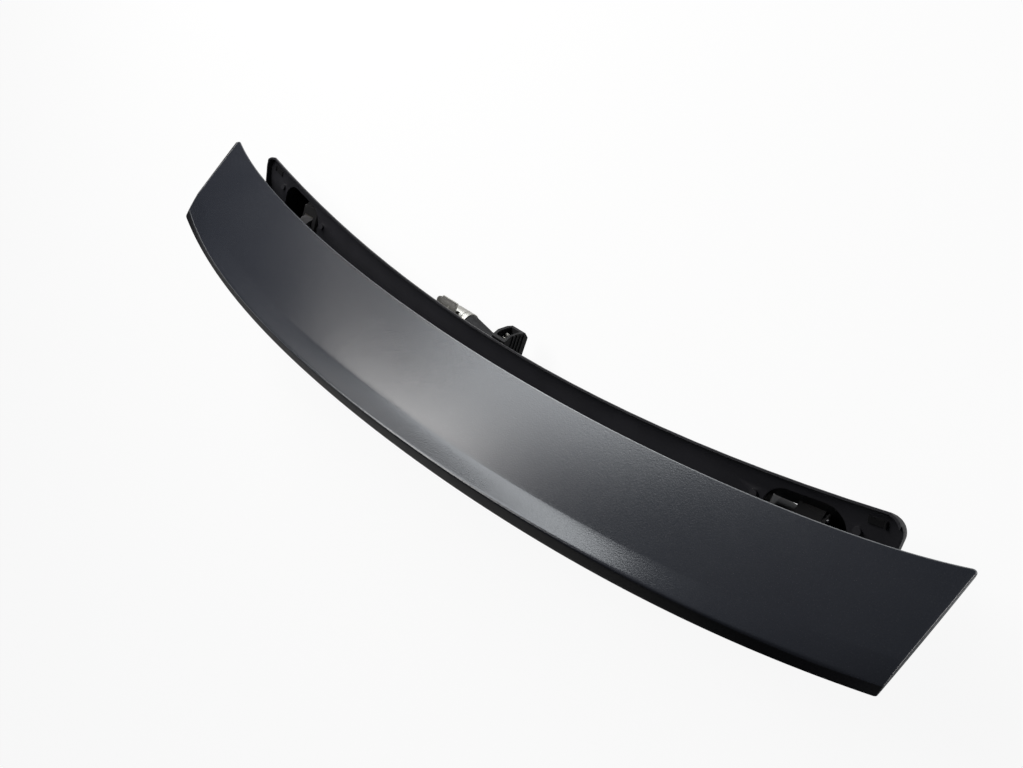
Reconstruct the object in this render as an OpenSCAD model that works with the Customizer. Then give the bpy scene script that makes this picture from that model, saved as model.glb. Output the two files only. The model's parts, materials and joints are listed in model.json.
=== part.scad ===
// Powered trunk-lid spoiler, drawn with its blade raised.
// X runs across the car, +Y towards its front, +Z up. The origin is the middle of the four
// foot holes, on the face that the feet are bolted to.

/* [Blade] */
// Length of the blade along its leading edge
blade_len = 1100; // [1000:10:1250]
// Distance from the leading edge to the foot of the rear face, at mid length
blade_chord = 134.7; // [110:0.1:170]
// How much shorter the trailing edge is than the leading edge, at each tip
tip_sweep = 12; // [0:1:30]
// How far the leading edge bows rearwards at mid length
le_bow = 58; // [40:1:70]
// Extra bow of the leading edge near the tips
le_bow_tip = 11.5; // [0:0.5:20]
// How far the trailing edge bows rearwards at mid length
te_bow = 64; // [45:1:80]
// Extra bow of the trailing edge near the tips
te_bow_tip = 18; // [0:0.5:25]
// How far the trailing edge drops towards the tips
te_drop = 23.5; // [10:0.5:30]
// Height of the rear face at mid length
lip_h = 34; // [20:1:40]
// Height of the rear face at the tips
lip_h_tip = 4; // [3:0.5:10]
// How far the top of the rear face leans forwards at mid length
lip_lean = 3; // [0:0.5:10]
// Extra lean of the rear face at the tips
lip_lean_tip = 8; // [0:0.5:12]
// Shape of the upper face from front to back, 1 is straight and more is a ducktail
ducktail = 1.6; // [1:0.1:2.2]
// Wall of the painted skin
skin_t = 2.8; // [2:0.1:4]
// Thickness at the leading edge
edge_t = 3; // [2.5:0.5:5]
// How far the underside sags below a straight line
belly = 2.5; // [0:0.5:5]
// Wall of the inner panel
panel_t = 2.2; // [1.5:0.1:3]

/* [Lift] */
// Angle that the blade turns through from parked to raised
lift_angle = 40; // [30:1:45]
// Lift axis ahead of the rim
axis_ahead = 59; // [50:1:70]
// Lift axis above the rim
axis_above = 24; // [15:1:30]
// Gap between the rim and the leading edge when parked
park_gap = 4; // [3:0.5:8]
// Leading edge above the rim when parked
park_rise = 1; // [0:0.5:4]
// Struts from the middle of the unit
strut_x = 400; // [360:5:420]
// Width of a strut
strut_w = 18; // [16:1:22]
// Inner radius of a strut about the lift axis
strut_ri = 84; // [80:1:86]
// Outer radius of a strut's smooth shoulder
strut_ro = 93; // [92:0.5:94]
// Play between a strut and its glide strips
strut_play = 0.3; // [0.2:0.05:0.6]
// Tooth module of the pinion drive
tooth_m = 2; // [2:0.25:2]
// Teeth of the whole circle that a strut's rack is cut from
rack_teeth = 96; // [96:1:96]
// Teeth of a pinion
pinion_teeth = 12; // [12:1:14]
// Backlash at the pitch circle
backlash = 0.5; // [0.4:0.05:0.7]
// Angle of the pinion about the lift axis
pinion_at = 226; // [224:1:228]
// Radius of the pinion shaft
pinion_shaft_r = 5; // [4:0.5:6]

/* [Tray] */
// Length of the tray
tray_len = 970; // [940:2:1000]
// Width of the tray behind its rim
tray_w = 95; // [92:1:100]
// How far the rim bows rearwards at mid length
rim_bow = 59.8; // [50:0.2:68]
// Angle that the tray's front leans down, which lowers the rim towards its ends
rim_lean = 5.5; // [4:0.5:6]
// Wall of the tray
tray_t = 2.4; // [2:0.1:3]
// Corner radius at the rim's ends
tray_corner = 18; // [12:1:22]
// Length of a well, along the tray
well_len = 84; // [78:1:90]
// Width of a well
well_w = 66; // [62:1:67]
// Corner radius of a well
well_corner = 24; // [16:1:26]
// Middle of a well behind the rim
well_back = 45.5; // [44:0.5:47]

/* [Feet and motor] */
// Height of the rim above the feet
rim_height = 80; // [79:1:95]
// Foot holes apart along the unit
foot_x = 924; // [916:2:936]
// Foot holes apart from front to back
foot_y = 48; // [40:1:52]
// Radius of the foot holes
foot_hole_r = 3.3; // [2.7:0.1:4.3]
// Thickness of the feet
foot_t = 5; // [4:0.5:5]
// Radius of the motor can
motor_r = 15; // [13:0.5:15.5]
// Length of the motor can
motor_len = 35; // [32:1:40]
// Radius of the sheathed drive shafts
sheath_r = 4.5; // [3.5:0.5:5]

/* [Hidden] */
$fn = 48;
eps = 0.01;
seat_gap = 0.05;

foot_mid = -48;
half_blade = blade_len / 2;
half_tray = tray_len / 2;
rim_r = (half_tray * half_tray + rim_bow * rim_bow) / (2 * rim_bow);
tray_sweep = 2 * asin((half_tray + 20) / rim_r);
foot_z = -rim_height;
lean_rate = tan(rim_lean);

// Every module below draws from the middle of the rim; this puts that point over the feet
module placed() translate([0, -foot_mid, rim_height]) children();

// Blade lines, from the middle of the leading edge, as [distance forwards, height] at span u
function bowed(a, b, u) = a * u * u + b * pow(u, 4);
function te_u(u) = u * (1 - tip_sweep / half_blade);
function lead(u) = [bowed(le_bow, le_bow_tip, u), 0];
function trail(u) = [bowed(te_bow, te_bow_tip, te_u(u)) - blade_chord, -te_drop * te_u(u) * te_u(u)];
function lip(u) = lip_h_tip + (lip_h - lip_h_tip) * (1 - u * u);
function crest(u) = trail(u) + [lip_lean + lip_lean_tip * u * u, lip(u)];
function upper(u, t) = [lead(u).x + (crest(u).x - lead(u).x) * t, crest(u).y * pow(t, ducktail)];
function lower(u, t) = [lead(u).x + (trail(u).x - lead(u).x) * t,
    trail(u).y * t - edge_t * (1 - t) - belly * sin(180 * t)];
function blade_x(u, y) = u * (half_blade - tip_sweep * (lead(u).x - y) / (lead(u).x - trail(u).x));
function station(u, outline) =
    [for (p = outline) [blade_x(u, p.x), p.x - park_gap, p.y + park_rise]];
function between(a, b, t) = a + (b - a) * t;
function softened(a, corner, b) = [a, (a + 2 * corner + b) / 4, b];

// Outline of the whole blade at span u, from the leading edge over the top and back below
function blade_outline(u) = let(
        round_r = min(3, lip(u) / 3),
        top = crest(u),
        foot = trail(u),
        down = (foot - top) / norm(foot - top),
        near_top = upper(u, 1 - round_r / blade_chord),
        near_foot = lower(u, 1 - 2 / blade_chord))
    concat(
        [for (i = [1 : 11]) upper(u, i / 12)],
        softened(near_top, top, top + down * round_r),
        softened(foot - down * 1.2, foot, near_foot),
        [for (i = [5 : -1 : 1]) lower(u, i / 6)],
        softened(lower(u, 0.012), lead(u) - [0, edge_t / 2], upper(u, 0.012)));

module loft(rings) {
    n = len(rings[0]);
    m = len(rings);
    polyhedron(
        points = [for (ring = rings) each ring],
        faces = concat(
            [[for (i = [0 : n - 1]) i]],
            [[for (i = [n - 1 : -1 : 0]) (m - 1) * n + i]],
            [for (k = [0 : m - 2], i = [0 : n - 1]) let(j = (i + 1) % n)
                [k * n + i, (k + 1) * n + i, (k + 1) * n + j, k * n + j]]),
        convexity = 6);
}

span_steps = 48;
function spans(limit, steps) = [for (i = [0 : steps]) limit * (2 * i / steps - 1)];

// Turns what is drawn parked up to the raised place, about the lift axis
module raised()
    translate([0, axis_ahead, axis_above]) rotate([-lift_angle, 0, 0])
        translate([0, -axis_ahead, -axis_above]) children();

module blade_hollow()
    loft([for (u = spans(0.965, 32)) station(u, concat(
        [for (i = [0 : 8]) upper(u, between(0.1, 0.96, i / 8)) - [0, skin_t]],
        [for (i = [8 : -1 : 0]) lower(u, between(0.1, 0.96, i / 8)) - [0, 1]]))]);

module blade_skin() color("#3b3d42")
    raised() difference() {
        loft([for (u = spans(1, span_steps)) station(u, blade_outline(u))]);
        blade_hollow();
    }

// Pads under the inner panel that the struts are screwed to
pad_z = -15;
pad_len = 62;
pad_w = 42;
strut_mid_r = (strut_ri + strut_ro) / 2;
flange_t = 5;
flange_z = pad_z - flange_t;
root_y = axis_ahead - sqrt(pow(strut_mid_r, 2) - pow(axis_above - flange_z, 2));
pad_y = root_y + 6;
screw_dx = 21;
screw_dy = 13;
screw_r = 3;
module strut_screw_places()
    for (side = [-1, 1], dx = [-1, 1], dy = [-1, 1])
        translate([side * strut_x + dx * screw_dx, pad_y + dy * screw_dy, 0]) children();

module blade_inner_panel() color("#1c1d1f")
    raised() difference() {
        union() {
            loft([for (u = spans(0.985, 36)) station(u, concat(
                [for (i = [0 : 7]) lower(u, between(0.05, 0.965, i / 7)) - [0, seat_gap]],
                [for (i = [7 : -1 : 0])
                    lower(u, between(0.05, 0.965, i / 7)) - [0, seat_gap + panel_t]]))]);
            for (side = [-1, 1])
                translate([side * strut_x - pad_len / 2, pad_y - pad_w / 2, pad_z])
                    cube([pad_len, pad_w, 7]);
        }
        strut_screw_places() translate([0, 0, pad_z - 10]) cylinder(h = 30, r = screw_r + 0.05);
    }

// A wedge-shaped part of a ring about the lift axis, as a solid across the strut
module arc_band(ri, ro, from, to, x0, x1)
    translate([x0, axis_ahead, axis_above]) rotate([90, 0, 90])
        rotate([0, 0, from]) rotate_extrude(angle = to - from, $fn = 180)
            translate([ri, 0]) square([ro - ri, x1 - x0]);

pitch_r = tooth_m * rack_teeth / 2;
pinion_r = tooth_m * pinion_teeth / 2;
press_a = 25;
function unwind(a) = tan(a) * 180 / PI - a;
// Half the angle that a tooth takes up at radius r
function tooth_half(teeth, rp, r) = let(rb = rp * cos(press_a), ra = max(r, rb + 0.001))
    90 / teeth - backlash / 4 / rp * 180 / PI + unwind(press_a) - unwind(acos(rb / ra));
function tooth_side(teeth, rp, r0, r1, side) = [for (i = [0 : 4]) let(
        k = side > 0 ? 4 - i : i, r = between(r0, r1, k / 4), a = side * tooth_half(teeth, rp, r))
    [r * cos(a), r * sin(a)]];

module tooth(teeth, rp, r0, r1, w) linear_extrude(height = w)
    polygon(concat([[r0 - 1.5, -tooth_m * 0.9]], tooth_side(teeth, rp, r0, r1, -1),
        tooth_side(teeth, rp, r0, r1, 1), [[r0 - 1.5, tooth_m * 0.9]]));

rack_w = 8;
rack_root = pitch_r - 1.2 * tooth_m;
tail_at = 276;
rack_step = 360 / rack_teeth;
tooth_first = pinion_at + lift_angle - 12 * rack_step;

// A strut: flange, curved stem with smooth sides, and a rack of teeth on half its width
module strut(side) color("#8d9094")
    raised() translate([side * strut_x, 0, 0]) difference() {
        union() {
            translate([-pad_len / 2, pad_y - pad_w / 2, flange_z]) cube([pad_len, pad_w, flange_t]);
            difference() {
                arc_band(strut_ri, strut_ro, 200, tail_at, -strut_w / 2, strut_w / 2);
                translate([-50, -80, pad_z - 1]) cube([100, 120, 60]);
            }
            for (k = [0 : 13])
                translate([side > 0 ? -rack_w : 0, axis_ahead, axis_above]) rotate([90, 0, 90])
                    rotate([0, 0, tooth_first + k * rack_step])
                        tooth(rack_teeth, pitch_r, rack_root, pitch_r + tooth_m, rack_w);
        }
        for (dx = [-1, 1], dy = [-1, 1])
            translate([dx * screw_dx, pad_y + dy * screw_dy, flange_z - 1])
                cylinder(h = flange_t + 2, r = screw_r + 0.2);
    }

// Tray: a sloping pan swept along the rim's arc, with a well near each end. Profiles are
// [distance behind the rim, height]
pan_top = [[2, 1], [2, 0], [2.8, -3], [5, -5.6], [9, -7.9], [18, -10.7], [30, -14.4], [45, -19],
    [60, -23.4], [73, -26.4], [80, -27], [85.5, -25.4], [88.5, -21], [tray_w - 2.5, -2], [tray_w - 2.5, 1]];
pan_under = [[0, 0], [0, -2.5], [1.4, -5.4], [4.2, -8], [8.4, -10.3], [17.4, -13.1], [29.4, -16.9],
    [44.4, -21.5], [59.5, -25.9], [72.6, -28.9], [81, -29.5], [87.6, -27.4], [91.2, -21.8], [tray_w, -2],
    [tray_w, 0]];
function rim_at(x) = rim_r - sqrt(rim_r * rim_r - x * x);
function behind(x, y) = norm([x, rim_r - y]) - rim_r;
function pan_z(x, y) = lookup(behind(x, y), [for (i = [2 : 12]) pan_top[i]]) - y * lean_rate;
function under_pan_z(x, y) = lookup(behind(x, y), [for (i = [1 : 12]) pan_under[i]]) - y * lean_rate;
module along_rim(profile)
    rotate([-rim_lean, 0, 0]) translate([0, rim_r, 0]) rotate([0, 0, -90 - tray_sweep / 2])
        rotate_extrude(angle = tray_sweep, $fn = 720) translate([rim_r, 0]) polygon(profile);

// All that lies at least a given distance below the tray
module below_tray(gap) along_rim(concat([[-60, -2.5 - gap]],
    [for (i = [1 : 13]) pan_under[i] - [0, gap]], [[150, -2 - gap], [150, -150], [-60, -150]]));

// Keeps what lies between the tray's ends, with its front corners rounded by r
module to_ends(half_len, r) {
    corner_x = half_tray - tray_corner;
    corner_y = rim_r - sqrt(pow(rim_r + tray_corner, 2) - corner_x * corner_x);
    difference() {
        children();
        for (side = [-1, 1]) {
            translate([side * (half_len + 100) - 100, -300, -200]) cube([200, 600, 400]);
            difference() {
                translate([side * (corner_x + 50) - 50, corner_y, -150]) cube([100, 100, 300]);
                translate([side * corner_x, corner_y, -151]) cylinder(h = 302, r = r);
            }
        }
    }
}

// A well stands square to the rim at its strut
well_turn = asin(strut_x / (rim_r + well_back));
well_y = rim_r - (rim_r + well_back) * cos(well_turn);
module at_well(side) translate([side * strut_x, well_y, 0]) rotate([0, 0, side * well_turn]) children();
module well(z0, z1) {
    w = well_len / 2;
    d = well_w / 2;
    r = well_corner;
    translate([-w + r, -d, z0]) cube([2 * (w - r), 2 * d, z1 - z0]);
    translate([-w, -d + r, z0]) cube([2 * w, 2 * (d - r), z1 - z0]);
    for (sx = [-1, 1], sy = [-1, 1])
        translate([sx * (w - r), sy * (d - r), z0]) cylinder(h = z1 - z0, r = r);
}

// What the parked blade needs above the tray's rear wall, and further forwards at its end walls
park_room = 2.5;
module room_over(from)
    loft([for (u = spans(0.95, 24)) station(u, concat(
        [for (i = [6 : -1 : 0]) lower(u, between(from, 1, i / 6)) - [0, panel_t + park_room]],
        [lower(u, from) + [0, 60], lower(u, 1) + [0, 90]]))]);
module parked_room() {
    room_over(0.1);
    intersection() {
        room_over(-0.025);
        for (side = [-1, 1]) translate([side * half_tray - 5, -200, -50]) cube([10, 300, 100]);
    }
}

// Screws that hold the housings and the motor come up into bosses of the tray
housing_screws_at = [for (side = [-1, 1], p = [[-51, -38], [51, -38], [-51, 18], [51, 18]])
    [side * strut_x + p.x * cos(well_turn) - side * p.y * sin(well_turn),
        well_y + side * p.x * sin(well_turn) + p.y * cos(well_turn)]];
function housing_seat(p) = under_pan_z(p.x, p.y) - 6;

motor_y = -14.8;
motor_z = -31;
case_x0 = -10;
case_x1 = 11;
neck_len = 55;
can_x0 = case_x0 - neck_len - motor_len;
output_y = -40;
output_z = -36;
output_x0 = -62;
output_len = 9;
ear_z = -27;
motor_screws_at = [[can_x0 - 12, -43], [can_x0 - 12, -31], [-48, -58], [2, -58]];

buffer_places = [[-230, -40], [-120, -50], [120, -50], [230, -40]];
module tray() color("#202124") difference() {
    union() {
        difference() {
            union() {
                to_ends(half_tray, tray_corner) along_rim(pan_under);
                for (p = motor_screws_at) translate([p.x, p.y, ear_z])
                    cylinder(h = pan_z(p.x, p.y) - ear_z, r = 5);
            }
            to_ends(half_tray - tray_t, tray_corner - tray_t) along_rim(pan_top);
        }
        for (p = housing_screws_at) translate([p.x, p.y, under_pan_z(p.x, p.y) + 1.5])
            cylinder(h = 4.5, r = 4);
    }
    for (side = [-1, 1]) at_well(side) well(-60, 20);
    parked_room();
    for (p = housing_screws_at) translate([p.x, p.y, under_pan_z(p.x, p.y) - 5]) cylinder(h = 9.6, r = 1.75);
    for (p = motor_screws_at) translate([p.x, p.y, ear_z - 1]) cylinder(h = 6.5, r = 2.05);
}

function park_under(x, y) = let(u = x / half_blade,
        t = (lead(u).x - park_gap - y) / (lead(u).x - trail(u).x))
    lower(u, t).y + park_rise - seat_gap - panel_t;
module stop_buffers() color("#151515")
    difference() {
        for (p = buffer_places) {
            z = pan_z(p.x, p.y) - 6;
            h = park_under(p.x, p.y) - 0.5 - z;
            translate([p.x, p.y, z]) rotate_extrude()
                polygon([[0, 0], [9, 0], [9, 9], [6.5, 11], [6.5, h - 2.5], [4.5, h], [0, h]]);
        }
        along_rim(concat([for (i = [3 : 12]) pan_top[i] + [0, 0.03]], [[97, -2], [97, -60], [5, -60]]));
    }

// Guide housing: a deep cup under the well, with a flange, a foot and the curved guide inside
glide_t = 2;
guide_half = strut_w / 2 + 0.4;
guide_ri = strut_ri - strut_play - glide_t;
guide_ro = strut_ro + strut_play + glide_t;
pinion_y = axis_ahead + (pitch_r + pinion_r) * cos(pinion_at);
pinion_z = axis_above + (pitch_r + pinion_r) * sin(pinion_at);
cheek_out = 17;
body_top = -31;
guide_end = 235;

module slab(side, o0, o1, y0, y1, z0, z1)
    translate([min(side * o0, side * o1), y0, z0]) cube([abs(o1 - o0), y1 - y0, z1 - z0]);
module rod(side, o0, o1, y, z, r)
    translate([min(side * o0, side * o1), y, z]) rotate([0, 90, 0]) cylinder(h = abs(o1 - o0), r = r);
module band(side, ri, ro, from, to, o0, o1)
    arc_band(ri, ro, from, to, min(side * o0, side * o1), max(side * o0, side * o1));

function on_arc(r, a) = [axis_ahead + r * cos(a), axis_above + r * sin(a)];
cover_screws_at = [on_arc(78.9, 229),
    [pinion_y + 14 * cos(165), pinion_z + 14 * sin(165)],
    [pinion_y + 14 * cos(280), pinion_z + 14 * sin(280)]];
gearbox_r = 19;
gearbox_screws_at = [for (a = [60, 180, 300])
    [pinion_y + 16.2 * cos(a), pinion_z + 16.2 * sin(a)]];

// The cup's cross-section from front to back, whose front slopes back under the tray
cup_slope = 46 / 74;
module cup(half_len, front, back, bottom, top) translate([-half_len, 0, 0]) rotate([90, 0, 90])
    linear_extrude(height = 2 * half_len) polygon([[front + cup_slope * (bottom - foot_z), bottom],
        [back, bottom], [back + 5, top], [front + cup_slope * (top - foot_z), top]]);

module guide_housing(side) color("#4a4c50") difference() {
    union() {
        difference() {
            intersection() {
                at_well(side) union() {
                    cup(46, -6, -47, foot_z, 10);
                    translate([-58, -45, -60]) cube([116, 79, 80]);
                }
                below_tray(0.02);
                union() {
                    at_well(side) cup(46, -6, -47, foot_z, 10);
                    difference() {
                        translate([side * strut_x - 100, -150, -70]) cube([200, 250, 100]);
                        below_tray(4);
                    }
                }
            }
            at_well(side) cup(43, -9.5, -43.8, foot_z + foot_t, 12);
            translate([side * strut_x, 0, 0]) rod(side, -60, -cheek_out, pinion_y, pinion_z, gearbox_r + 1.5);
        }
        intersection() {
            at_well(side) cup(45, -7, -46, foot_z + 1, 9);
            translate([side * strut_x, 0, 0])
                slab(side, -cheek_out, -cheek_out + 4, -80, 60, foot_z + 1, body_top);
        }
        translate([side * strut_x, 0, 0]) slab(side, -36, 72, -82, -14, foot_z, foot_z + foot_t);
        intersection() {
            at_well(side) cup(45, -7, -46, foot_z + 1, 9);
            translate([side * strut_x, 0, 0]) difference() {
                union() {
                    band(side, 73.5, guide_ro + 6, 205, guide_end, 2 - cheek_out, guide_half);
                    rod(side, 2 - cheek_out, guide_half, pinion_y, pinion_z, 20);
                    slab(side, 2 - cheek_out, guide_half, -34, 2, foot_z + 1, pinion_z);
                }
                translate([-60, -90, body_top]) cube([120, 160, 60]);
            }
        }
        for (p = housing_screws_at) if (p.x * side > 0) intersection() {
            translate([p.x, p.y, housing_seat(p)]) cylinder(h = 20, r = 5.5);
            below_tray(0.02);
        }
    }
    translate([side * strut_x, 0, 0]) {
        band(side, guide_ri, guide_ro, 200, 300, -guide_half, guide_half + 1);
        band(side, guide_ri + 4, pitch_r + tooth_m + 0.6, 200, 300, -rack_w - 0.6, 0.6);
        rod(side, -rack_w - 0.6, 0.6, pinion_y, pinion_z, pinion_r + tooth_m + 0.6);
        rod(side, -cheek_out - 1, guide_half + 1, pinion_y, pinion_z, pinion_shaft_r + 0.05);
        for (p = cover_screws_at) rod(side, guide_half - 6, guide_half + 1, p.x, p.y, 1.3);
        for (p = gearbox_screws_at) rod(side, -cheek_out - 1, -cheek_out + 3.6, p.x, p.y, 1.3);
        for (dy = [-1, 1]) translate([side * (foot_x / 2 - strut_x), foot_mid + dy * foot_y / 2, foot_z - 1])
            cylinder(h = foot_t + 2, r = foot_hole_r);
    }
    for (p = housing_screws_at) translate([p.x, p.y, housing_seat(p) - 1]) cylinder(h = 12, r = 1.95);
}

module guide_cover(side) color("#6b6e73") intersection() {
    translate([side * strut_x, 0, 0]) difference() {
        union() {
            band(side, 76, guide_ro + 6, 205, guide_end - 2, guide_half, guide_half + 4);
            rod(side, guide_half, guide_half + 4, pinion_y, pinion_z, 18);
        }
        translate([-60, -90, body_top - 0.5]) cube([120, 160, 60]);
        for (p = cover_screws_at) rod(side, guide_half - 1, guide_half + 5, p.x, p.y, 1.7);
        rod(side, guide_half - 1, guide_half + 1, pinion_y, pinion_z, pinion_shaft_r + 1);
    }
    at_well(side) cup(42, -10.5, -42.8, foot_z + foot_t + 1, 12);
}

module glide(side, ri, ro, o0, o1) color("#d8d4c4") translate([side * strut_x, 0, 0]) difference() {
    band(side, ri, ro, 205, guide_end, o0, o1);
    translate([-60, -90, body_top - 1]) cube([120, 160, 60]);
}
module inner_glide(side) glide(side, guide_ri, guide_ri + glide_t, -guide_half + 0.2, guide_half - 0.2);
module outer_glide(side) glide(side, guide_ro - glide_t, guide_ro, 0.7, guide_half - 0.2);

shaft_in = 30;
module pinion(side) color("#a9abad") translate([side * strut_x, pinion_y, pinion_z]) {
    rod(side, -rack_w, 0, 0, 0, pinion_r - 1.2 * tooth_m + 0.02);
    translate([side > 0 ? -rack_w : 0, 0, 0]) rotate([90, 0, 90])
        for (k = [0 : pinion_teeth - 1])
            rotate([0, 0, pinion_at + 180 + (k + 0.5) * 360 / pinion_teeth])
                tooth(pinion_teeth, pinion_r, pinion_r - 1.2 * tooth_m, pinion_r + tooth_m, rack_w);
    rod(side, -shaft_in, guide_half - 0.4, 0, 0, pinion_shaft_r);
}

gearbox_end = 50;
spigot_end = 56;
module gearbox(side) color("#5b5d61") translate([side * strut_x, pinion_y, pinion_z]) difference() {
    rotate([0, -side * 90, 0]) rotate_extrude() polygon([[0, cheek_out], [gearbox_r, cheek_out],
        [gearbox_r, cheek_out + 4], [13.4, cheek_out + 4], [13.2, cheek_out + 24], [10.5, gearbox_end],
        [6, gearbox_end], [6, spigot_end], [0, spigot_end]]);
    rod(side, -shaft_in - 1, -cheek_out + 1, 0, 0, pinion_shaft_r + 0.05);
    for (p = gearbox_screws_at)
        rod(side, -cheek_out - 5, -cheek_out + 1, p.x - pinion_y, p.y - pinion_z, 1.7);
}

// Screws: a shank with a domed head, drawn pointing down from z = 0 under the head
module screw(r, length, head_r, head_h) {
    translate([0, 0, -length]) cylinder(h = length, r = r);
    rotate_extrude() polygon([[0, 0], [head_r, 0], [head_r, head_h * 0.45],
        [head_r * 0.7, head_h * 0.9], [head_r * 0.35, head_h], [0, head_h]]);
}
module screw_across(side, o, p, r, length, head_r, head_h, way)
    translate([side * (strut_x + o), p.x, p.y]) rotate([0, side * way * 90, 0])
        screw(r, length, head_r, head_h);
module housing_screws() color("#9a9ca0") for (p = housing_screws_at)
    translate([p.x, p.y, housing_seat(p)]) rotate([180, 0, 0]) screw(1.7, 9.5, 4, 2.6);
module strut_screws() color("#9a9ca0") raised() strut_screw_places()
    translate([0, 0, flange_z]) rotate([180, 0, 0]) screw(screw_r, flange_t + 6.5, 5.5, 3.6);
module cover_screws() color("#9a9ca0") for (side = [-1, 1], p = cover_screws_at)
    screw_across(side, guide_half + 4, p, 1.25, 9, 2.8, 2, 1);
module gearbox_screws() color("#9a9ca0") for (side = [-1, 1], p = gearbox_screws_at)
    screw_across(side, -cheek_out - 4, p, 1.25, 7.5, 2.6, 2, -1);
module motor_screws() color("#9a9ca0") for (p = motor_screws_at)
    translate([p.x, p.y, ear_z - bracket_t - 0.06]) rotate([180, 0, 0]) screw(2, 7.5, 3.8, 2.6);

// Motor: can, steel bracket at its far end, and the black gear case with its socket
module along_x(x, y, z) translate([x, y, z]) rotate([0, 90, 0]) children();
module motor_can() color("#a8a59c") difference() {
    along_x(can_x0, motor_y, motor_z) rotate_extrude() polygon([[0, -3], [4, -3], [4, 0],
        [motor_r - 6.5, 0], [motor_r - 3, 2.2], [motor_r - 0.8, 5.5], [motor_r, 9], [motor_r, motor_len - 8],
        [motor_r - 0.6, motor_len - 7.6], [motor_r - 0.6, motor_len - 6.6], [motor_r, motor_len - 6.2],
        [motor_r, motor_len], [0, motor_len]]);
    translate([can_x0 + 17, motor_y + 8, motor_z + 6]) cube([6, 4, 12]);
}

bracket_t = 2.5;
plate_z = -12;
lug_z = -21.5;
module motor_bracket() color("#9d9b93") difference() {
    x1 = can_x0 - 0.02;
    x0 = x1 - bracket_t;
    union() {
        along_x(x0, motor_y, motor_z) cylinder(h = bracket_t, r = motor_r + 0.6);
        translate([x0, -36, ear_z - bracket_t]) cube([bracket_t, 26, 12]);
        translate([x0 - 20, -48, ear_z - bracket_t]) cube([22, 22, bracket_t]);
        translate([x0, -14, motor_z]) cube([bracket_t, 14, plate_z - motor_z]);
        translate([x0, -9, plate_z - bracket_t]) cube([25, 17.5, bracket_t]);
        translate([x0 - 11, -9, lug_z - bracket_t]) cube([12, 11.5, bracket_t]);
        translate([x0 - 11, -3.2, lug_z - bracket_t]) cylinder(h = bracket_t, r = 5.7);
    }
    along_x(x0 - 1, motor_y, motor_z) cylinder(h = bracket_t + 2, r = 8.1);
    translate([x0 + 12.5, -0.7, plate_z - bracket_t - 1]) cylinder(h = bracket_t + 2, r = 1.5);
    along_rim(concat([[-1, 20], [-1, -5]], [for (i = [2 : 8]) pan_under[i] - [0, 0.4]], [[60, 20]]));
    for (p = motor_screws_at) translate([p.x, p.y, ear_z - 4]) cylinder(h = 6, r = 2.2);
}

socket_x0 = -6;
module motor_gear_case() color("#17181a") difference() {
    union() {
        along_x(case_x0 - neck_len, motor_y, motor_z) rotate_extrude() polygon([[0, 0],
            [motor_r - 1, 0], [motor_r - 7, 35], [motor_r - 7.5, neck_len + 2], [0, neck_len + 2]]);
        translate([case_x0, 0, 0]) rotate([90, 0, 90]) linear_extrude(height = case_x1 - case_x0)
            polygon([[-52, -47], [4.5, -47], [10.6, -40], [10.4, -30], [6.9, -15.6], [0.3, -7.7],
                [-3, -9.8], [-9, -12.4], [-17, -15.4], [-30, -19.5], [-52, -25]]);
        translate([output_x0, -52, -47]) cube([case_x0 - output_x0 + 1, 25, 21]);
        along_x(output_x0 - output_len, output_y, output_z)
            cylinder(h = case_x1 - output_x0 + 2 * output_len, r = 6);
        for (x = [-48, 2]) translate([x - 7, -64, ear_z - bracket_t - 0.02]) cube([14, 14, bracket_t]);
        for (z = [-21, -27, -33, -39]) translate([case_x1 - 1, -26, z]) cube([2.2, 34, 1.4]);
    }
    translate([socket_x0, -4, -34]) cube([14, 20, 23.5]);
    for (p = motor_screws_at) translate([p.x, p.y, ear_z - 4]) cylinder(h = 6, r = 2.2);
}
module motor_terminals() color("#d9d7cf") {
    translate([2, -4, -18.8]) cube([4, 11.4, 1.2]);
    translate([3, -4, -13]) cube([4, 7.5, 1.2]);
}

// Flexible drive shafts in their sheaths, from the motor out to each gearbox
function eased(t) = 3 * t * t - 2 * t * t * t;
function shaft_point(x0, x1, t) = [between(x0, x1, t), between(output_y, pinion_y, eased(t)),
    between(output_z, pinion_z, eased(t))];
function shaft_from(side) = side > 0 ? case_x1 + output_len : output_x0 - output_len;
module drive_shaft(side) color("#232427") loft([for (k = [0 : 24]) let(
        t = side > 0 ? k / 24 : 1 - k / 24,
        c = shaft_point(shaft_from(side), side * (strut_x - spigot_end), t))
    [for (a = [0 : 30 : 330]) c + sheath_r * [0, cos(a), sin(a)]]]);

nut_grip = 5;
module union_nut(side, x, y, z) translate([x, y, z]) rotate([0, side * 90, 0]) difference() {
    translate([0, 0, -nut_grip]) cylinder(h = nut_grip + 8, r = 8.5, $fn = 6);
    translate([0, 0, -nut_grip - 1]) cylinder(h = nut_grip + 1.05, r = 6.05);
    cylinder(h = 10, r = sheath_r + 0.1);
}
module union_nuts() color("#b0a070") for (side = [-1, 1]) {
    union_nut(side, shaft_from(side), output_y, output_z);
    union_nut(-side, side * (strut_x - spigot_end), pinion_y, pinion_z);
}

module shaft_clips() color("#151515") for (side = [-1, 1], t = [0.3, 0.7]) {
    c = shaft_point(shaft_from(side), side * (strut_x - spigot_end), t);
    difference() {
        intersection() {
            union() {
                along_x(c.x - 4, c.y, c.z) cylinder(h = 8, r = sheath_r + 2.5);
                translate([c.x - 4, c.y - 3, c.z + sheath_r]) cube([8, 6, 40]);
                difference() {
                    translate([c.x - 9, c.y - 6, -60]) cube([18, 12, 60]);
                    below_tray(2);
                }
            }
            below_tray(0.02);
        }
        along_x(c.x - 5, c.y, c.z) cylinder(h = 10, r = sheath_r + 0.7);
    }
}

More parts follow.
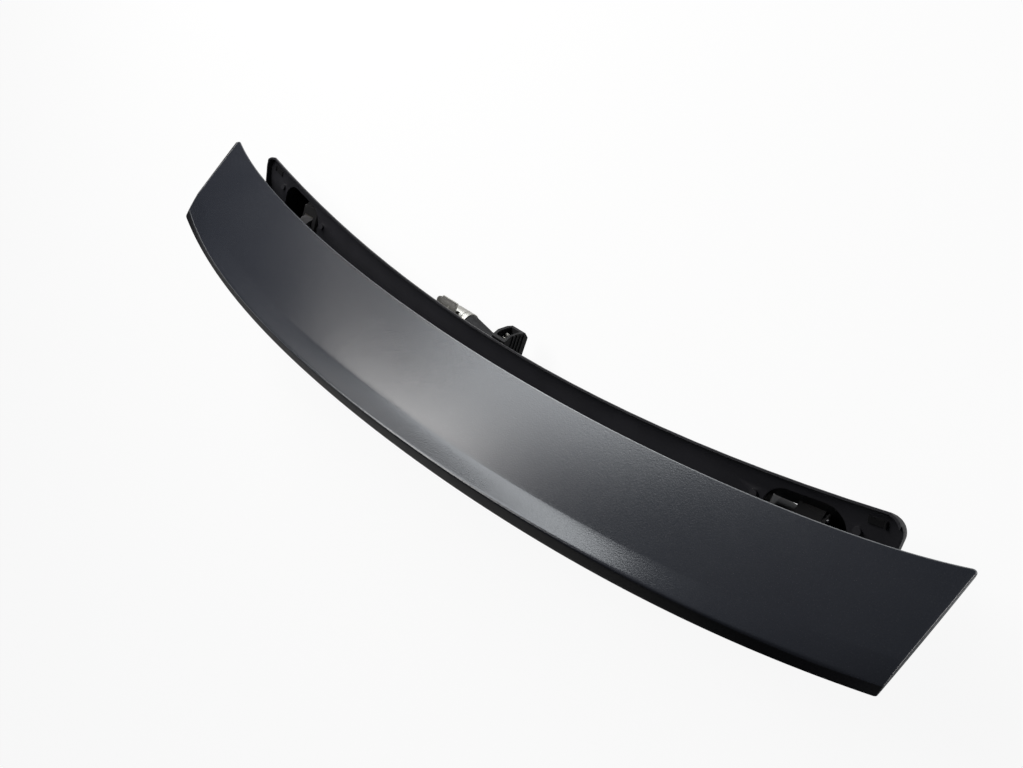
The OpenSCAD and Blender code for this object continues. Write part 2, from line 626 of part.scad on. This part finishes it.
// Small steel clips on the tray's floor near its ends
end_clip_x = 459;
clip_turn = asin(end_clip_x / rim_r);
pan_slope = (pan_top[4].y - pan_top[5].y) / (pan_top[5].x - pan_top[4].x);
module end_clips() color("#b5b5b5") for (side = [-1, 1]) {
    y = rim_at(end_clip_x) - 14;
    translate([side * end_clip_x, y, pan_z(end_clip_x, y) + 0.45])
        rotate([atan(pan_slope - lean_rate), side * atan(lean_rate * sin(clip_turn)), side * clip_turn]) {
            translate([-8, -3.5, 0]) cube([16, 7, 1.2]);
            translate([side * 8, 3.5, 1.3]) rotate([90, 0, 0]) cylinder(h = 7, r = 1.3);
        }
}

placed() blade_skin();
placed() blade_inner_panel();
placed() strut(-1);  // left_strut
placed() strut(1);  // right_strut
placed() strut_screws();
placed() tray();
placed() stop_buffers();
placed() guide_housing(-1);  // left_guide_housing
placed() guide_housing(1);  // right_guide_housing
placed() guide_cover(-1);  // left_guide_cover
placed() guide_cover(1);  // right_guide_cover
placed() cover_screws();
placed() inner_glide(-1);  // left_inner_glide
placed() inner_glide(1);  // right_inner_glide
placed() outer_glide(-1);  // left_outer_glide
placed() outer_glide(1);  // right_outer_glide
placed() pinion(-1);  // left_pinion
placed() pinion(1);  // right_pinion
placed() gearbox(-1);  // left_gearbox
placed() gearbox(1);  // right_gearbox
placed() gearbox_screws();
placed() housing_screws();
placed() motor_can();
placed() motor_bracket();
placed() motor_gear_case();
placed() motor_terminals();
placed() motor_screws();
placed() drive_shaft(-1);  // left_drive_shaft
placed() drive_shaft(1);  // right_drive_shaft
placed() union_nuts();
placed() shaft_clips();
placed() end_clips();
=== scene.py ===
import bpy
import json
import math
from mathutils import Matrix, Vector


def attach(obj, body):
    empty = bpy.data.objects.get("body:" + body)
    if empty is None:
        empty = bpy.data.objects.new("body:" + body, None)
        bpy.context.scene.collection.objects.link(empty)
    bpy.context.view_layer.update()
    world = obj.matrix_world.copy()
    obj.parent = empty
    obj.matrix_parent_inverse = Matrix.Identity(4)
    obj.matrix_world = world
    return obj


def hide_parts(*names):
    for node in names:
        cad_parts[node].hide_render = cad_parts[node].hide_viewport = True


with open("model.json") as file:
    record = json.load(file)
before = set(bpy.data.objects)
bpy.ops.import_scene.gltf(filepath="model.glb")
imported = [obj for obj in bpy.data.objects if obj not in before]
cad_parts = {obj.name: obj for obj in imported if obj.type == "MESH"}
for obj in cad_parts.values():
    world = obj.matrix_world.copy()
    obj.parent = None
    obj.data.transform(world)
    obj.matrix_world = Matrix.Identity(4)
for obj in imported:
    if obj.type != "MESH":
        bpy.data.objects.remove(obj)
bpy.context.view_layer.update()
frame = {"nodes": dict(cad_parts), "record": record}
bpy.ops.object.select_all(action="DESELECT")

# The blade is drawn parked, in millimetres from the middle of the tray's front rim, with y
# forwards and z up. A place along it is u, from -1 at the left tip to 1 at the right tip, and
# a place across it is t, from 0 at the leading edge to 1 at the trailing edge.
MM = 0.001
RIM_ABOVE_FEET = 80
RIM_AHEAD_OF_FEET = 48
BLADE_HALF = 550
CHORD = 134.7
TIP_SWEEP = 12

# Bow of the two edges forwards, and their extra bow near the tips
LEAD_BOW = 58
LEAD_BOW_TIP = 11.5
LEAD_CURL = 6
TRAIL_BOW = 64
TRAIL_BOW_TIP = 18
TRAIL_DROP = 23.5

# Rear face: its height, and how far its top leans forwards
LIP_AT_TIP = 4
LIP_GAIN = 30
LIP_LEAN = 3
LIP_LEAN_TIP = 8

# Upper face: where the flip starts, and how the height of the crest is shared
FLIP_START = 0.789
MAIN_RISE = 0.79
FLIP_RISE = 0.21
FLIP_POWER = 1.25

# Underside: depth of the leading edge, and the sag below a straight line
EDGE_DROP = 3
BELLY = 2.5

# The lift axis and angle, and the place of the parked blade against the rim
LIFT_AXIS = (59, 24)
LIFT_ANGLE = 40
PARK_GAP = 4
PARK_RISE = 1

# Rounds of the outline, in millimetres, and the share of the chord that the nose takes
NOSE = 0.012
NOSE_DROP = 1.5
FACE_FROM = 0.02
CREST_ROUND = 3
FOOT_ROUND = 1.2
FOOT_RUN = 2

# Number of steps in each stretch of the outline
FACE_STEPS = 24
FLIP_CROWDING = 1.5
CREST_STEPS = 6
REAR_STEPS = 4
FOOT_STEPS = 4
NOSE_STEPS = 6
UPPER_POINTS = 1 + 2 * FACE_STEPS
CREST_POINTS = CREST_STEPS + 1
REAR_POINTS = REAR_STEPS - 1

# Outlines along the blade: even steps, and closer ones at these distances from each tip
SPAN_STEPS = 200
TIP_STEPS_MM = (0, 0.1, 0.35, 0.75, 1.3, 2, 2.8, 3.8, 5)
FRONT_CORNER = 6
REAR_CORNER = 2
FLARE_LEN = 1.3
FLARE_SHARE = 0.8

SMOOTH_ANGLE = 40


def lead(u):
    """The leading edge."""
    return (LEAD_BOW * u * u + LEAD_BOW_TIP * u ** 4 + LEAD_CURL * u ** 12, 0)


def trail(u):
    """The trailing edge, at the foot of the rear face."""
    v = u * (1 - TIP_SWEEP / BLADE_HALF)
    return (TRAIL_BOW * v * v + TRAIL_BOW_TIP * v ** 4 - CHORD, -TRAIL_DROP * v * v)


def lip(u):
    """Height of the rear face."""
    return LIP_AT_TIP + LIP_GAIN * (1 - u * u)


def crest(u):
    """The top of the rear face."""
    y, z = trail(u)
    return (y + LIP_LEAN + LIP_LEAN_TIP * u * u, z + lip(u))


def upper(u, t):
    """The upper face runs nearly straight, and its last fifth flips up to the lip."""
    rise = MAIN_RISE * t + FLIP_RISE * max(0, (t - FLIP_START) / (1 - FLIP_START)) ** FLIP_POWER
    return (lead(u)[0] + (crest(u)[0] - lead(u)[0]) * t, crest(u)[1] * rise)


def lower(u, t):
    """The underside."""
    return (lead(u)[0] + (trail(u)[0] - lead(u)[0]) * t,
            trail(u)[1] * t - EDGE_DROP * (1 - t) - BELLY * math.sin(math.pi * t))


def raised(point):
    """Turns a point of the parked blade about the lift axis, up to where the photo shows it."""
    ahead = point[1] - LIFT_AXIS[0]
    above = point[2] - LIFT_AXIS[1]
    cos = math.cos(math.radians(LIFT_ANGLE))
    sin = math.sin(math.radians(LIFT_ANGLE))
    return (point[0], LIFT_AXIS[0] + cos * ahead + sin * above, LIFT_AXIS[1] - sin * ahead + cos * above)


def in_object(point):
    """From millimetres at the rim to metres in the frame of the CAD."""
    return Vector((point[0], point[1] + RIM_AHEAD_OF_FEET, point[2] + RIM_ABOVE_FEET)) * MM


def along(point, way, far):
    return (point[0] + way[0] * far, point[1] + way[1] * far)


def rounded(start, corner, end, steps):
    """A curve from start to end, drawn towards the corner between them."""
    points = []
    for i in range(steps + 1):
        s = i / steps
        points.append(tuple((1 - s) ** 2 * start[k] + 2 * s * (1 - s) * corner[k] + s * s * end[k]
                            for k in range(2)))
    return points


def upper_points(u, last):
    """From the nose back to the start of the crest's round, closest where the flip starts."""
    main = FLIP_START - FACE_FROM
    flip = last - FLIP_START
    return ([upper(u, NOSE)]
            + [upper(u, FACE_FROM + main * i / FACE_STEPS) for i in range(FACE_STEPS)]
            + [upper(u, FLIP_START + flip * (i / FACE_STEPS) ** FLIP_CROWDING) for i in range(FACE_STEPS)])


def blade_outline(u):
    """The section at u: upper face, crest, rear face, foot, underside and nose."""
    crest_round = min(CREST_ROUND, lip(u) / 3)
    top = crest(u)
    foot = trail(u)
    height = math.hypot(foot[0] - top[0], foot[1] - top[1])
    down = ((foot[0] - top[0]) / height, (foot[1] - top[1]) / height)
    last = 1 - crest_round / CHORD
    heel = 1 - FOOT_RUN / CHORD
    rear_len = height - crest_round - FOOT_ROUND
    nose_foot = (lead(u)[0], lead(u)[1] - NOSE_DROP)
    points = upper_points(u, last)
    points += rounded(upper(u, last), top, along(top, down, crest_round), CREST_STEPS)
    points += [along(top, down, crest_round + rear_len * i / REAR_STEPS) for i in range(1, REAR_STEPS)]
    points += rounded(along(foot, down, -FOOT_ROUND), foot, lower(u, heel), FOOT_STEPS)
    points += [lower(u, NOSE + (heel - NOSE) * i / FACE_STEPS) for i in range(FACE_STEPS - 1, 0, -1)]
    points += rounded(lower(u, NOSE), nose_foot, upper(u, NOSE), NOSE_STEPS)[:-1]
    return points


def swelled(points, depth):
    """The outline with each point moved outwards by depth."""
    count = len(points)
    moved = []
    for i in range(count):
        ay, az = points[i - 1]
        by, bz = points[(i + 1) % count]
        gap = math.hypot(by - ay, bz - az)
        moved.append((points[i][0] + (bz - az) / gap * depth, points[i][1] - (by - ay) / gap * depth))
    return moved


def corner_trim(u, radius):
    """How far a corner of this radius, seen from above, takes the edge back."""
    short = max(0, radius - (1 - abs(u)) * BLADE_HALF)
    return radius - math.sqrt(radius * radius - short * short)


def blade_spans():
    """Where along the blade its outlines stand."""
    even = [-1 + 2 * i / SPAN_STEPS for i in range(SPAN_STEPS + 1)]
    close = [far / BLADE_HALF for far in TIP_STEPS_MM]
    return [-1 + step for step in close] + even[1:-1] + [1 - step for step in reversed(close)]


def blade_ring(u):
    """One outline in its place. The last FLARE_LEN before each tip flares slightly outwards."""
    from_tip = min(FLARE_LEN, (1 - abs(u)) * BLADE_HALF)
    flare = FLARE_LEN - math.sqrt(FLARE_LEN * FLARE_LEN - (FLARE_LEN - from_tip) ** 2)
    front = lead(u)[0]
    rear = trail(u)[0]
    in_front = corner_trim(u, FRONT_CORNER)
    squeeze = 1 - (in_front + corner_trim(u, REAR_CORNER)) / (front - rear)
    ring = []
    for drawn_y, z in swelled(blade_outline(u), flare * FLARE_SHARE):
        y = front - in_front - (front - drawn_y) * squeeze
        t = (front - y) / (front - rear)
        x = u * (BLADE_HALF - TIP_SWEEP * t)
        ring.append(in_object(raised((x, y - PARK_GAP, z + PARK_RISE))))
    return ring


def ring_faces(rings, count):
    """Four-sided faces between neighbouring rings, and one face over each end."""
    faces = [[k * count + i, k * count + (i + 1) % count,
              (k + 1) * count + (i + 1) % count, (k + 1) * count + i]
             for k in range(rings - 1) for i in range(count)]
    faces.append(list(range(count))[::-1])
    faces.append([(rings - 1) * count + i for i in range(count)])
    return faces


# Share of painted highlight, a lighter paint colour, on the leading edge, which grows to the right, and on
# the crest, which fades out to the right
LEAD_HIGHLIGHT = 0.12
LEAD_HIGHLIGHT_GAIN = 1.1
LEAD_HIGHLIGHT_FROM = 0.35
LEAD_HIGHLIGHT_MOST = 0.55
CREST_HIGHLIGHT = 0.5
CREST_HIGHLIGHT_END = 0.6


def paint_edge_highlights(piece, count):
    """Marks the leading edge and the crest of the lip for a painted highlight, a lighter paint colour that
    stands in for the light they catch.
    """
    mark = piece.data.attributes.new("painted_edge_highlight", "FLOAT", "POINT")
    crest_mid = UPPER_POINTS + CREST_POINTS // 2
    rings = len(mark.data) // count
    for i, item in enumerate(mark.data):
        place = i % count
        share = i // count / (rings - 1)
        # Painted highlight: it grows to the right on the leading edge and fades out to the right on the
        # crest.
        if place in (count - 1, 0):
            item.value = min(LEAD_HIGHLIGHT_MOST,
                             LEAD_HIGHLIGHT + LEAD_HIGHLIGHT_GAIN * max(0, share - LEAD_HIGHLIGHT_FROM))
        elif place == crest_mid:
            item.value = CREST_HIGHLIGHT * max(0, 1 - share / CREST_HIGHLIGHT_END)


def shade_rear_face(piece, count):
    """Gives the rear face the second material, whose darker colour is painted shade, from inside the
    crest's round to the foot's.
    """
    first = UPPER_POINTS + CREST_POINTS - 2
    last = UPPER_POINTS + CREST_POINTS + REAR_POINTS + 2
    for face in piece.data.polygons:
        if len(face.vertices) == 4 and first <= min(v % count for v in face.vertices) <= last:
            face.material_index = 1


def add_object(name, data):
    added = bpy.data.objects.new(name, data)
    bpy.context.collection.objects.link(added)
    return added


def finish_shell(piece):
    """Turns the normals outwards and smooths the faces."""
    bpy.context.view_layer.objects.active = piece
    piece.select_set(True)
    bpy.ops.object.mode_set(mode="EDIT")
    bpy.ops.mesh.select_all(action="SELECT")
    bpy.ops.mesh.normals_make_consistent(inside=False)
    bpy.ops.object.mode_set(mode="OBJECT")
    bpy.ops.object.select_all(action="DESELECT")
    piece.select_set(True)
    bpy.ops.object.shade_smooth_by_angle(angle=math.radians(SMOOTH_ANGLE))


def painted_blade():
    """The painted blade, as one closed form through its outlines."""
    rings = [blade_ring(u) for u in blade_spans()]
    count = len(rings[0])
    mesh = bpy.data.meshes.new("painted_blade")
    mesh.from_pydata([point for ring in rings for point in ring], [], ring_faces(len(rings), count))
    mesh.update()
    piece = add_object("painted_blade", mesh)
    paint_edge_highlights(piece, count)
    shade_rear_face(piece, count)
    finish_shell(piece)
    return piece


# Sockets of the Mix node when it mixes colours
MIX_SHARE = 0
MIX_UNDER = 6
MIX_OVER = 7
MIX_RESULT = 2

# Sizes of the patterns, as noise scales on metres, and depth of the bumps in metres
FINE_GRAIN = 900
BROAD_MOTTLE = 18
PAINT_PEEL = 650
PAINT_SPECK = 1500
PAINT_DRIFT = 9
GRAIN_DEPTH = 0.0002
REAR_DEPTH = 0.00012
ROUGHNESS_SWING = 0.07


def finish_base(name, colour, roughness, metallic=0.0):
    """A material with its plain values, which its patterns then vary."""
    finish = bpy.data.materials.new(name)
    finish.use_nodes = True
    tree = finish.node_tree
    shader = tree.nodes["Principled BSDF"]
    shader.inputs["Base Color"].default_value = (*colour, 1)
    shader.inputs["Roughness"].default_value = roughness
    shader.inputs["Metallic"].default_value = metallic
    place = tree.nodes.new("ShaderNodeTexCoord")
    return finish, tree, shader, place.outputs["Object"]


def grain(tree, place, scale, detail):
    noise = tree.nodes.new("ShaderNodeTexNoise")
    noise.inputs["Scale"].default_value = scale
    noise.inputs["Detail"].default_value = detail
    tree.links.new(place, noise.inputs["Vector"])
    return noise.outputs["Fac"]


def spread(tree, value, low, high, from_low=0.3, from_high=0.7):
    """Stretches the middle of a noise's range over low to high."""
    stretch = tree.nodes.new("ShaderNodeMapRange")
    stretch.inputs["From Min"].default_value = from_low
    stretch.inputs["From Max"].default_value = from_high
    stretch.inputs["To Min"].default_value = low
    stretch.inputs["To Max"].default_value = high
    tree.links.new(value, stretch.inputs["Value"])
    return stretch.outputs["Result"]


def mixed(tree, share, under, over):
    """Mixes two colours, each a plain one or the output of another node."""
    mix = tree.nodes.new("ShaderNodeMix")
    mix.data_type = "RGBA"
    for socket, colour in ((MIX_UNDER, under), (MIX_OVER, over)):
        if isinstance(colour, tuple):
            mix.inputs[socket].default_value = (*colour, 1)
        else:
            tree.links.new(colour, mix.inputs[socket])
    tree.links.new(share, mix.inputs[MIX_SHARE])
    return mix.outputs[MIX_RESULT]


def bumped(tree, shader, height, strength, depth):
    bump = tree.nodes.new("ShaderNodeBump")
    bump.inputs["Strength"].default_value = strength
    bump.inputs["Distance"].default_value = depth
    tree.links.new(height, bump.inputs["Height"])
    tree.links.new(bump.outputs["Normal"], shader.inputs["Normal"])


def plain_finish(name, colour, mottle, roughness, metallic=0.0, grain_scale=FINE_GRAIN, bump=0.15,
                 shine=0.5):
    """A moulding or metal: two close colours in broad patches, and a fine grain."""
    finish, tree, shader, place = finish_base(name, colour, roughness, metallic)
    shader.inputs["Specular IOR Level"].default_value = shine
    fine = grain(tree, place, grain_scale, 3)
    broad = grain(tree, place, BROAD_MOTTLE, 4)
    tree.links.new(mixed(tree, spread(tree, broad, 0, 1), mottle, colour), shader.inputs["Base Color"])
    rough = spread(tree, fine, roughness - ROUGHNESS_SWING, roughness + ROUGHNESS_SWING)
    tree.links.new(rough, shader.inputs["Roughness"])
    bumped(tree, shader, fine, bump, GRAIN_DEPTH)
    return finish


def satin_paint():
    """Dark satin paint with a slight orange peel, sparse specks and a painted highlight on its edges."""
    finish, tree, shader, place = finish_base("satin_paint", (0.017, 0.018, 0.021), 0.24)
    peel = grain(tree, place, PAINT_PEEL, 2)
    speck = grain(tree, place, PAINT_SPECK, 1)
    drift = grain(tree, place, PAINT_DRIFT, 3)
    edge = tree.nodes.new("ShaderNodeAttribute")
    edge.attribute_name = "painted_edge_highlight"
    body = mixed(tree, spread(tree, drift, 0, 1), (0.014, 0.0155, 0.0205), (0.018, 0.0195, 0.0245))
    specked = mixed(tree, spread(tree, speck, 0, 0.5, 0.68, 0.78), body, (0.07, 0.07, 0.075))
    # Light grey mixed in on the marked edges is a painted highlight.
    with_edge_highlight = mixed(tree, edge.outputs["Fac"], specked, (0.42, 0.43, 0.44))
    tree.links.new(with_edge_highlight, shader.inputs["Base Color"])
    tree.links.new(spread(tree, peel, 0.19, 0.27), shader.inputs["Roughness"])
    bumped(tree, shader, peel, 0.5, GRAIN_DEPTH)
    return finish


def shaded_rear_paint():
    """The paint of the rear face: its darker colour is painted shade, and it has less shine."""
    # These darker base colours of the rear face are painted shade.
    finish, tree, shader, place = finish_base("shaded_rear_paint", (0.007, 0.007, 0.008), 0.5)
    shader.inputs["Specular IOR Level"].default_value = 0.12
    peel = grain(tree, place, PAINT_PEEL, 2)
    body = mixed(tree, spread(tree, peel, 0, 1), (0.006, 0.006, 0.007), (0.009, 0.009, 0.010))
    tree.links.new(body, shader.inputs["Base Color"])
    bumped(tree, shader, peel, 0.3, REAR_DEPTH)
    return finish


# Finishes of the CAD nodes, by the record's material slots
PLAIN_FINISHES = {
    "black_moulding": dict(colour=(0.022, 0.022, 0.026), mottle=(0.016, 0.016, 0.019), roughness=0.42),
    "dark_casting": dict(colour=(0.016, 0.016, 0.017), mottle=(0.011, 0.011, 0.012), roughness=0.6,
                         grain_scale=500, bump=0.4, shine=0.25),
    "bright_steel": dict(colour=(0.12, 0.12, 0.125), mottle=(0.08, 0.08, 0.085), roughness=0.4,
                         metallic=1.0, grain_scale=400, bump=0.1),
    "zinc_screws": dict(colour=(0.5, 0.5, 0.52), mottle=(0.38, 0.38, 0.4), roughness=0.35,
                        metallic=1.0, grain_scale=600, bump=0.1),
    "motor_steel": dict(colour=(0.50, 0.49, 0.46), mottle=(0.36, 0.355, 0.33), roughness=0.42,
                        metallic=1.0, grain_scale=500),
    "glide_plastic": dict(colour=(0.09, 0.085, 0.07), mottle=(0.07, 0.065, 0.055), roughness=0.5),
    "buffer_rubber": dict(colour=(0.012, 0.012, 0.012), mottle=(0.02, 0.02, 0.02), roughness=0.75),
    "gear_case": dict(colour=(0.009, 0.009, 0.010), mottle=(0.013, 0.013, 0.014), roughness=0.55,
                      shine=0.15),
    "contact_metal": dict(colour=(0.75, 0.74, 0.7), mottle=(0.6, 0.6, 0.56), roughness=0.25, metallic=1.0),
    "shaft_sheath": dict(colour=(0.016, 0.016, 0.017), mottle=(0.022, 0.022, 0.022), roughness=0.5),
    "nut_brass": dict(colour=(0.55, 0.43, 0.2), mottle=(0.42, 0.33, 0.16), roughness=0.35, metallic=1.0),
}


def give_finishes(finishes):
    """Gives each CAD node the finish of its slot. The end clips look like the dark gear case."""
    for part in frame["record"]["subparts"]:
        node = frame["nodes"][part["node"]]
        node.data.materials.clear()
        node.data.materials.append(finishes[part["material_slot"]])
    frame["nodes"]["end_clips"].data.materials[0] = finishes["gear_case"]


# Width of the rounding on each moulding's edges, in metres
SOFT_EDGES = {"tray": 0.0009, "motor_gear_case": 0.0005, "motor_bracket": 0.0004}
WELD_GAP = 0.00002
SHARP_ANGLE = 40


def softened(name, width):
    """Rounds a node's sharp edges, so that they catch the light."""
    node = frame["nodes"][name]
    weld = node.modifiers.new("weld", "WELD")
    weld.merge_threshold = WELD_GAP
    round_off = node.modifiers.new("round_off", "BEVEL")
    round_off.width = width
    round_off.segments = 2
    round_off.limit_method = "ANGLE"
    round_off.angle_limit = math.radians(SHARP_ANGLE)


FLOOR_SIZE = 40
FLOOR_BELOW_FEET = 0.0005
FLOOR_WHITE = 0.92
FLOOR_IN_GLOSS = 0.1


def pale_floor():
    """A floor that shows white to the camera and faintly in gloss, and keeps the shadow."""
    finish, tree, shader, _ = finish_base("pale_floor", (0.9, 0.9, 0.9), 0.9)
    glow = tree.nodes.new("ShaderNodeEmission")
    glow.inputs["Color"].default_value = (1, 1, 1, 1)
    path = tree.nodes.new("ShaderNodeLightPath")
    in_gloss = tree.nodes.new("ShaderNodeMath")
    in_gloss.operation = "MULTIPLY"
    in_gloss.inputs[1].default_value = FLOOR_IN_GLOSS
    tree.links.new(path.outputs["Is Glossy Ray"], in_gloss.inputs[0])
    share = tree.nodes.new("ShaderNodeMath")
    share.operation = "MULTIPLY_ADD"
    share.inputs[1].default_value = FLOOR_WHITE
    tree.links.new(path.outputs["Is Camera Ray"], share.inputs[0])
    tree.links.new(in_gloss.outputs[0], share.inputs[2])
    mix = tree.nodes.new("ShaderNodeMixShader")
    tree.links.new(share.outputs[0], mix.inputs[0])
    tree.links.new(shader.outputs[0], mix.inputs[1])
    tree.links.new(glow.outputs[0], mix.inputs[2])
    tree.links.new(mix.outputs[0], tree.nodes["Material Output"].inputs["Surface"])
    return finish


def lay_floor():
    bpy.ops.mesh.primitive_plane_add(size=FLOOR_SIZE, location=(0, 0, -FLOOR_BELOW_FEET))
    floor = bpy.context.object
    floor.name = "floor"
    floor.data.materials.append(pale_floor())


# The lamps point at the middle of the tray's rim; places and sizes are in metres
LAMP_TARGET = (0, 0.048, 0.08)
LAMPS = {
    "far_light": dict(place=(-0.935, 2.191, 0.371), size=(1.36, 0.65), watts=22, tint=(0.93, 0.97, 1)),
    "key_light": dict(place=(-0.724, 0.902, 1.102), size=(0.488, 1.435), watts=27, tint=(1, 0.98, 0.96)),
}


def softbox(name, place, size, watts, tint):
    lamp = bpy.data.lights.new(name, "AREA")
    lamp.shape = "RECTANGLE"
    lamp.size, lamp.size_y = size
    lamp.energy = watts
    lamp.color = tint
    box = add_object(name, lamp)
    box.location = place
    box.rotation_euler = (Vector(LAMP_TARGET) - Vector(place)).to_track_quat("-Z", "Y").to_euler()


ROOM_COLOUR = (0.86, 0.95, 1.1, 1)
ROOM_AHEAD = (0.19, 0.98, 0)
ROOM_DIM = 0.03
ROOM_BRIGHT = 0.2
BACKDROP_COLOUR = (0.93, 0.93, 0.93, 1)


def light_room():
    """A room that is brighter ahead of the unit. Past the floor the camera sees a white backdrop."""
    world = bpy.data.worlds.new("studio")
    world.use_nodes = True
    sky = world.node_tree
    way = sky.nodes.new("ShaderNodeTexCoord")
    ahead = sky.nodes.new("ShaderNodeVectorMath")
    ahead.operation = "DOT_PRODUCT"
    ahead.inputs[1].default_value = ROOM_AHEAD
    sky.links.new(way.outputs["Generated"], ahead.inputs[0])
    level = spread(sky, ahead.outputs["Value"], ROOM_DIM, ROOM_BRIGHT, 0, 1)
    room = sky.nodes["Background"]
    room.inputs["Color"].default_value = ROOM_COLOUR
    sky.links.new(level, room.inputs["Strength"])
    backdrop = sky.nodes.new("ShaderNodeBackground")
    backdrop.inputs["Color"].default_value = BACKDROP_COLOUR
    path = sky.nodes.new("ShaderNodeLightPath")
    seen = sky.nodes.new("ShaderNodeMixShader")
    sky.links.new(path.outputs["Is Camera Ray"], seen.inputs[0])
    sky.links.new(room.outputs[0], seen.inputs[1])
    sky.links.new(backdrop.outputs[0], seen.inputs[2])
    sky.links.new(seen.outputs[0], sky.nodes["World Output"].inputs["Surface"])
    bpy.context.scene.world = world


# The camera that was fitted to the photo: its place in metres, its axes and its lens
PHOTO_WIDTH = 1023
FOCAL_PIXELS = 1000
SENSOR_MM = 36
CLIP_START = 0.05
CAMERA_PLACE = (0.66932, 0.39592, 0.92447)
CAMERA_RIGHT = (0.69577, 0.30248, -0.65147)
CAMERA_UP = (-0.4516, 0.88953, -0.0693)
CAMERA_BACK = (0.55854, 0.34242, 0.7555)


def set_camera():
    lens = bpy.data.cameras.new("camera")
    lens.sensor_width = SENSOR_MM
    lens.lens = SENSOR_MM * FOCAL_PIXELS / PHOTO_WIDTH
    lens.clip_start = CLIP_START
    camera = add_object("camera", lens)
    rows = [list(row) for row in zip(CAMERA_RIGHT, CAMERA_UP, CAMERA_BACK, CAMERA_PLACE)]
    camera.matrix_world = Matrix(rows + [[0, 0, 0, 1]])
    bpy.context.scene.camera = camera


finishes = {"painted_skin": satin_paint()}
for slot, look in PLAIN_FINISHES.items():
    finishes[slot] = plain_finish(slot, **look)
give_finishes(finishes)
for node_name, edge_width in SOFT_EDGES.items():
    softened(node_name, edge_width)

blade = painted_blade()
blade.data.materials.append(finishes["painted_skin"])
# The second material darkens the rear face with painted shade.
blade.data.materials.append(shaded_rear_paint())
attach(blade, "blade_unit")
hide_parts("blade_skin")

lay_floor()
for lamp_name, lamp_look in LAMPS.items():
    softbox(lamp_name, **lamp_look)
light_room()
set_camera()
bpy.context.scene.view_settings.view_transform = "Standard"
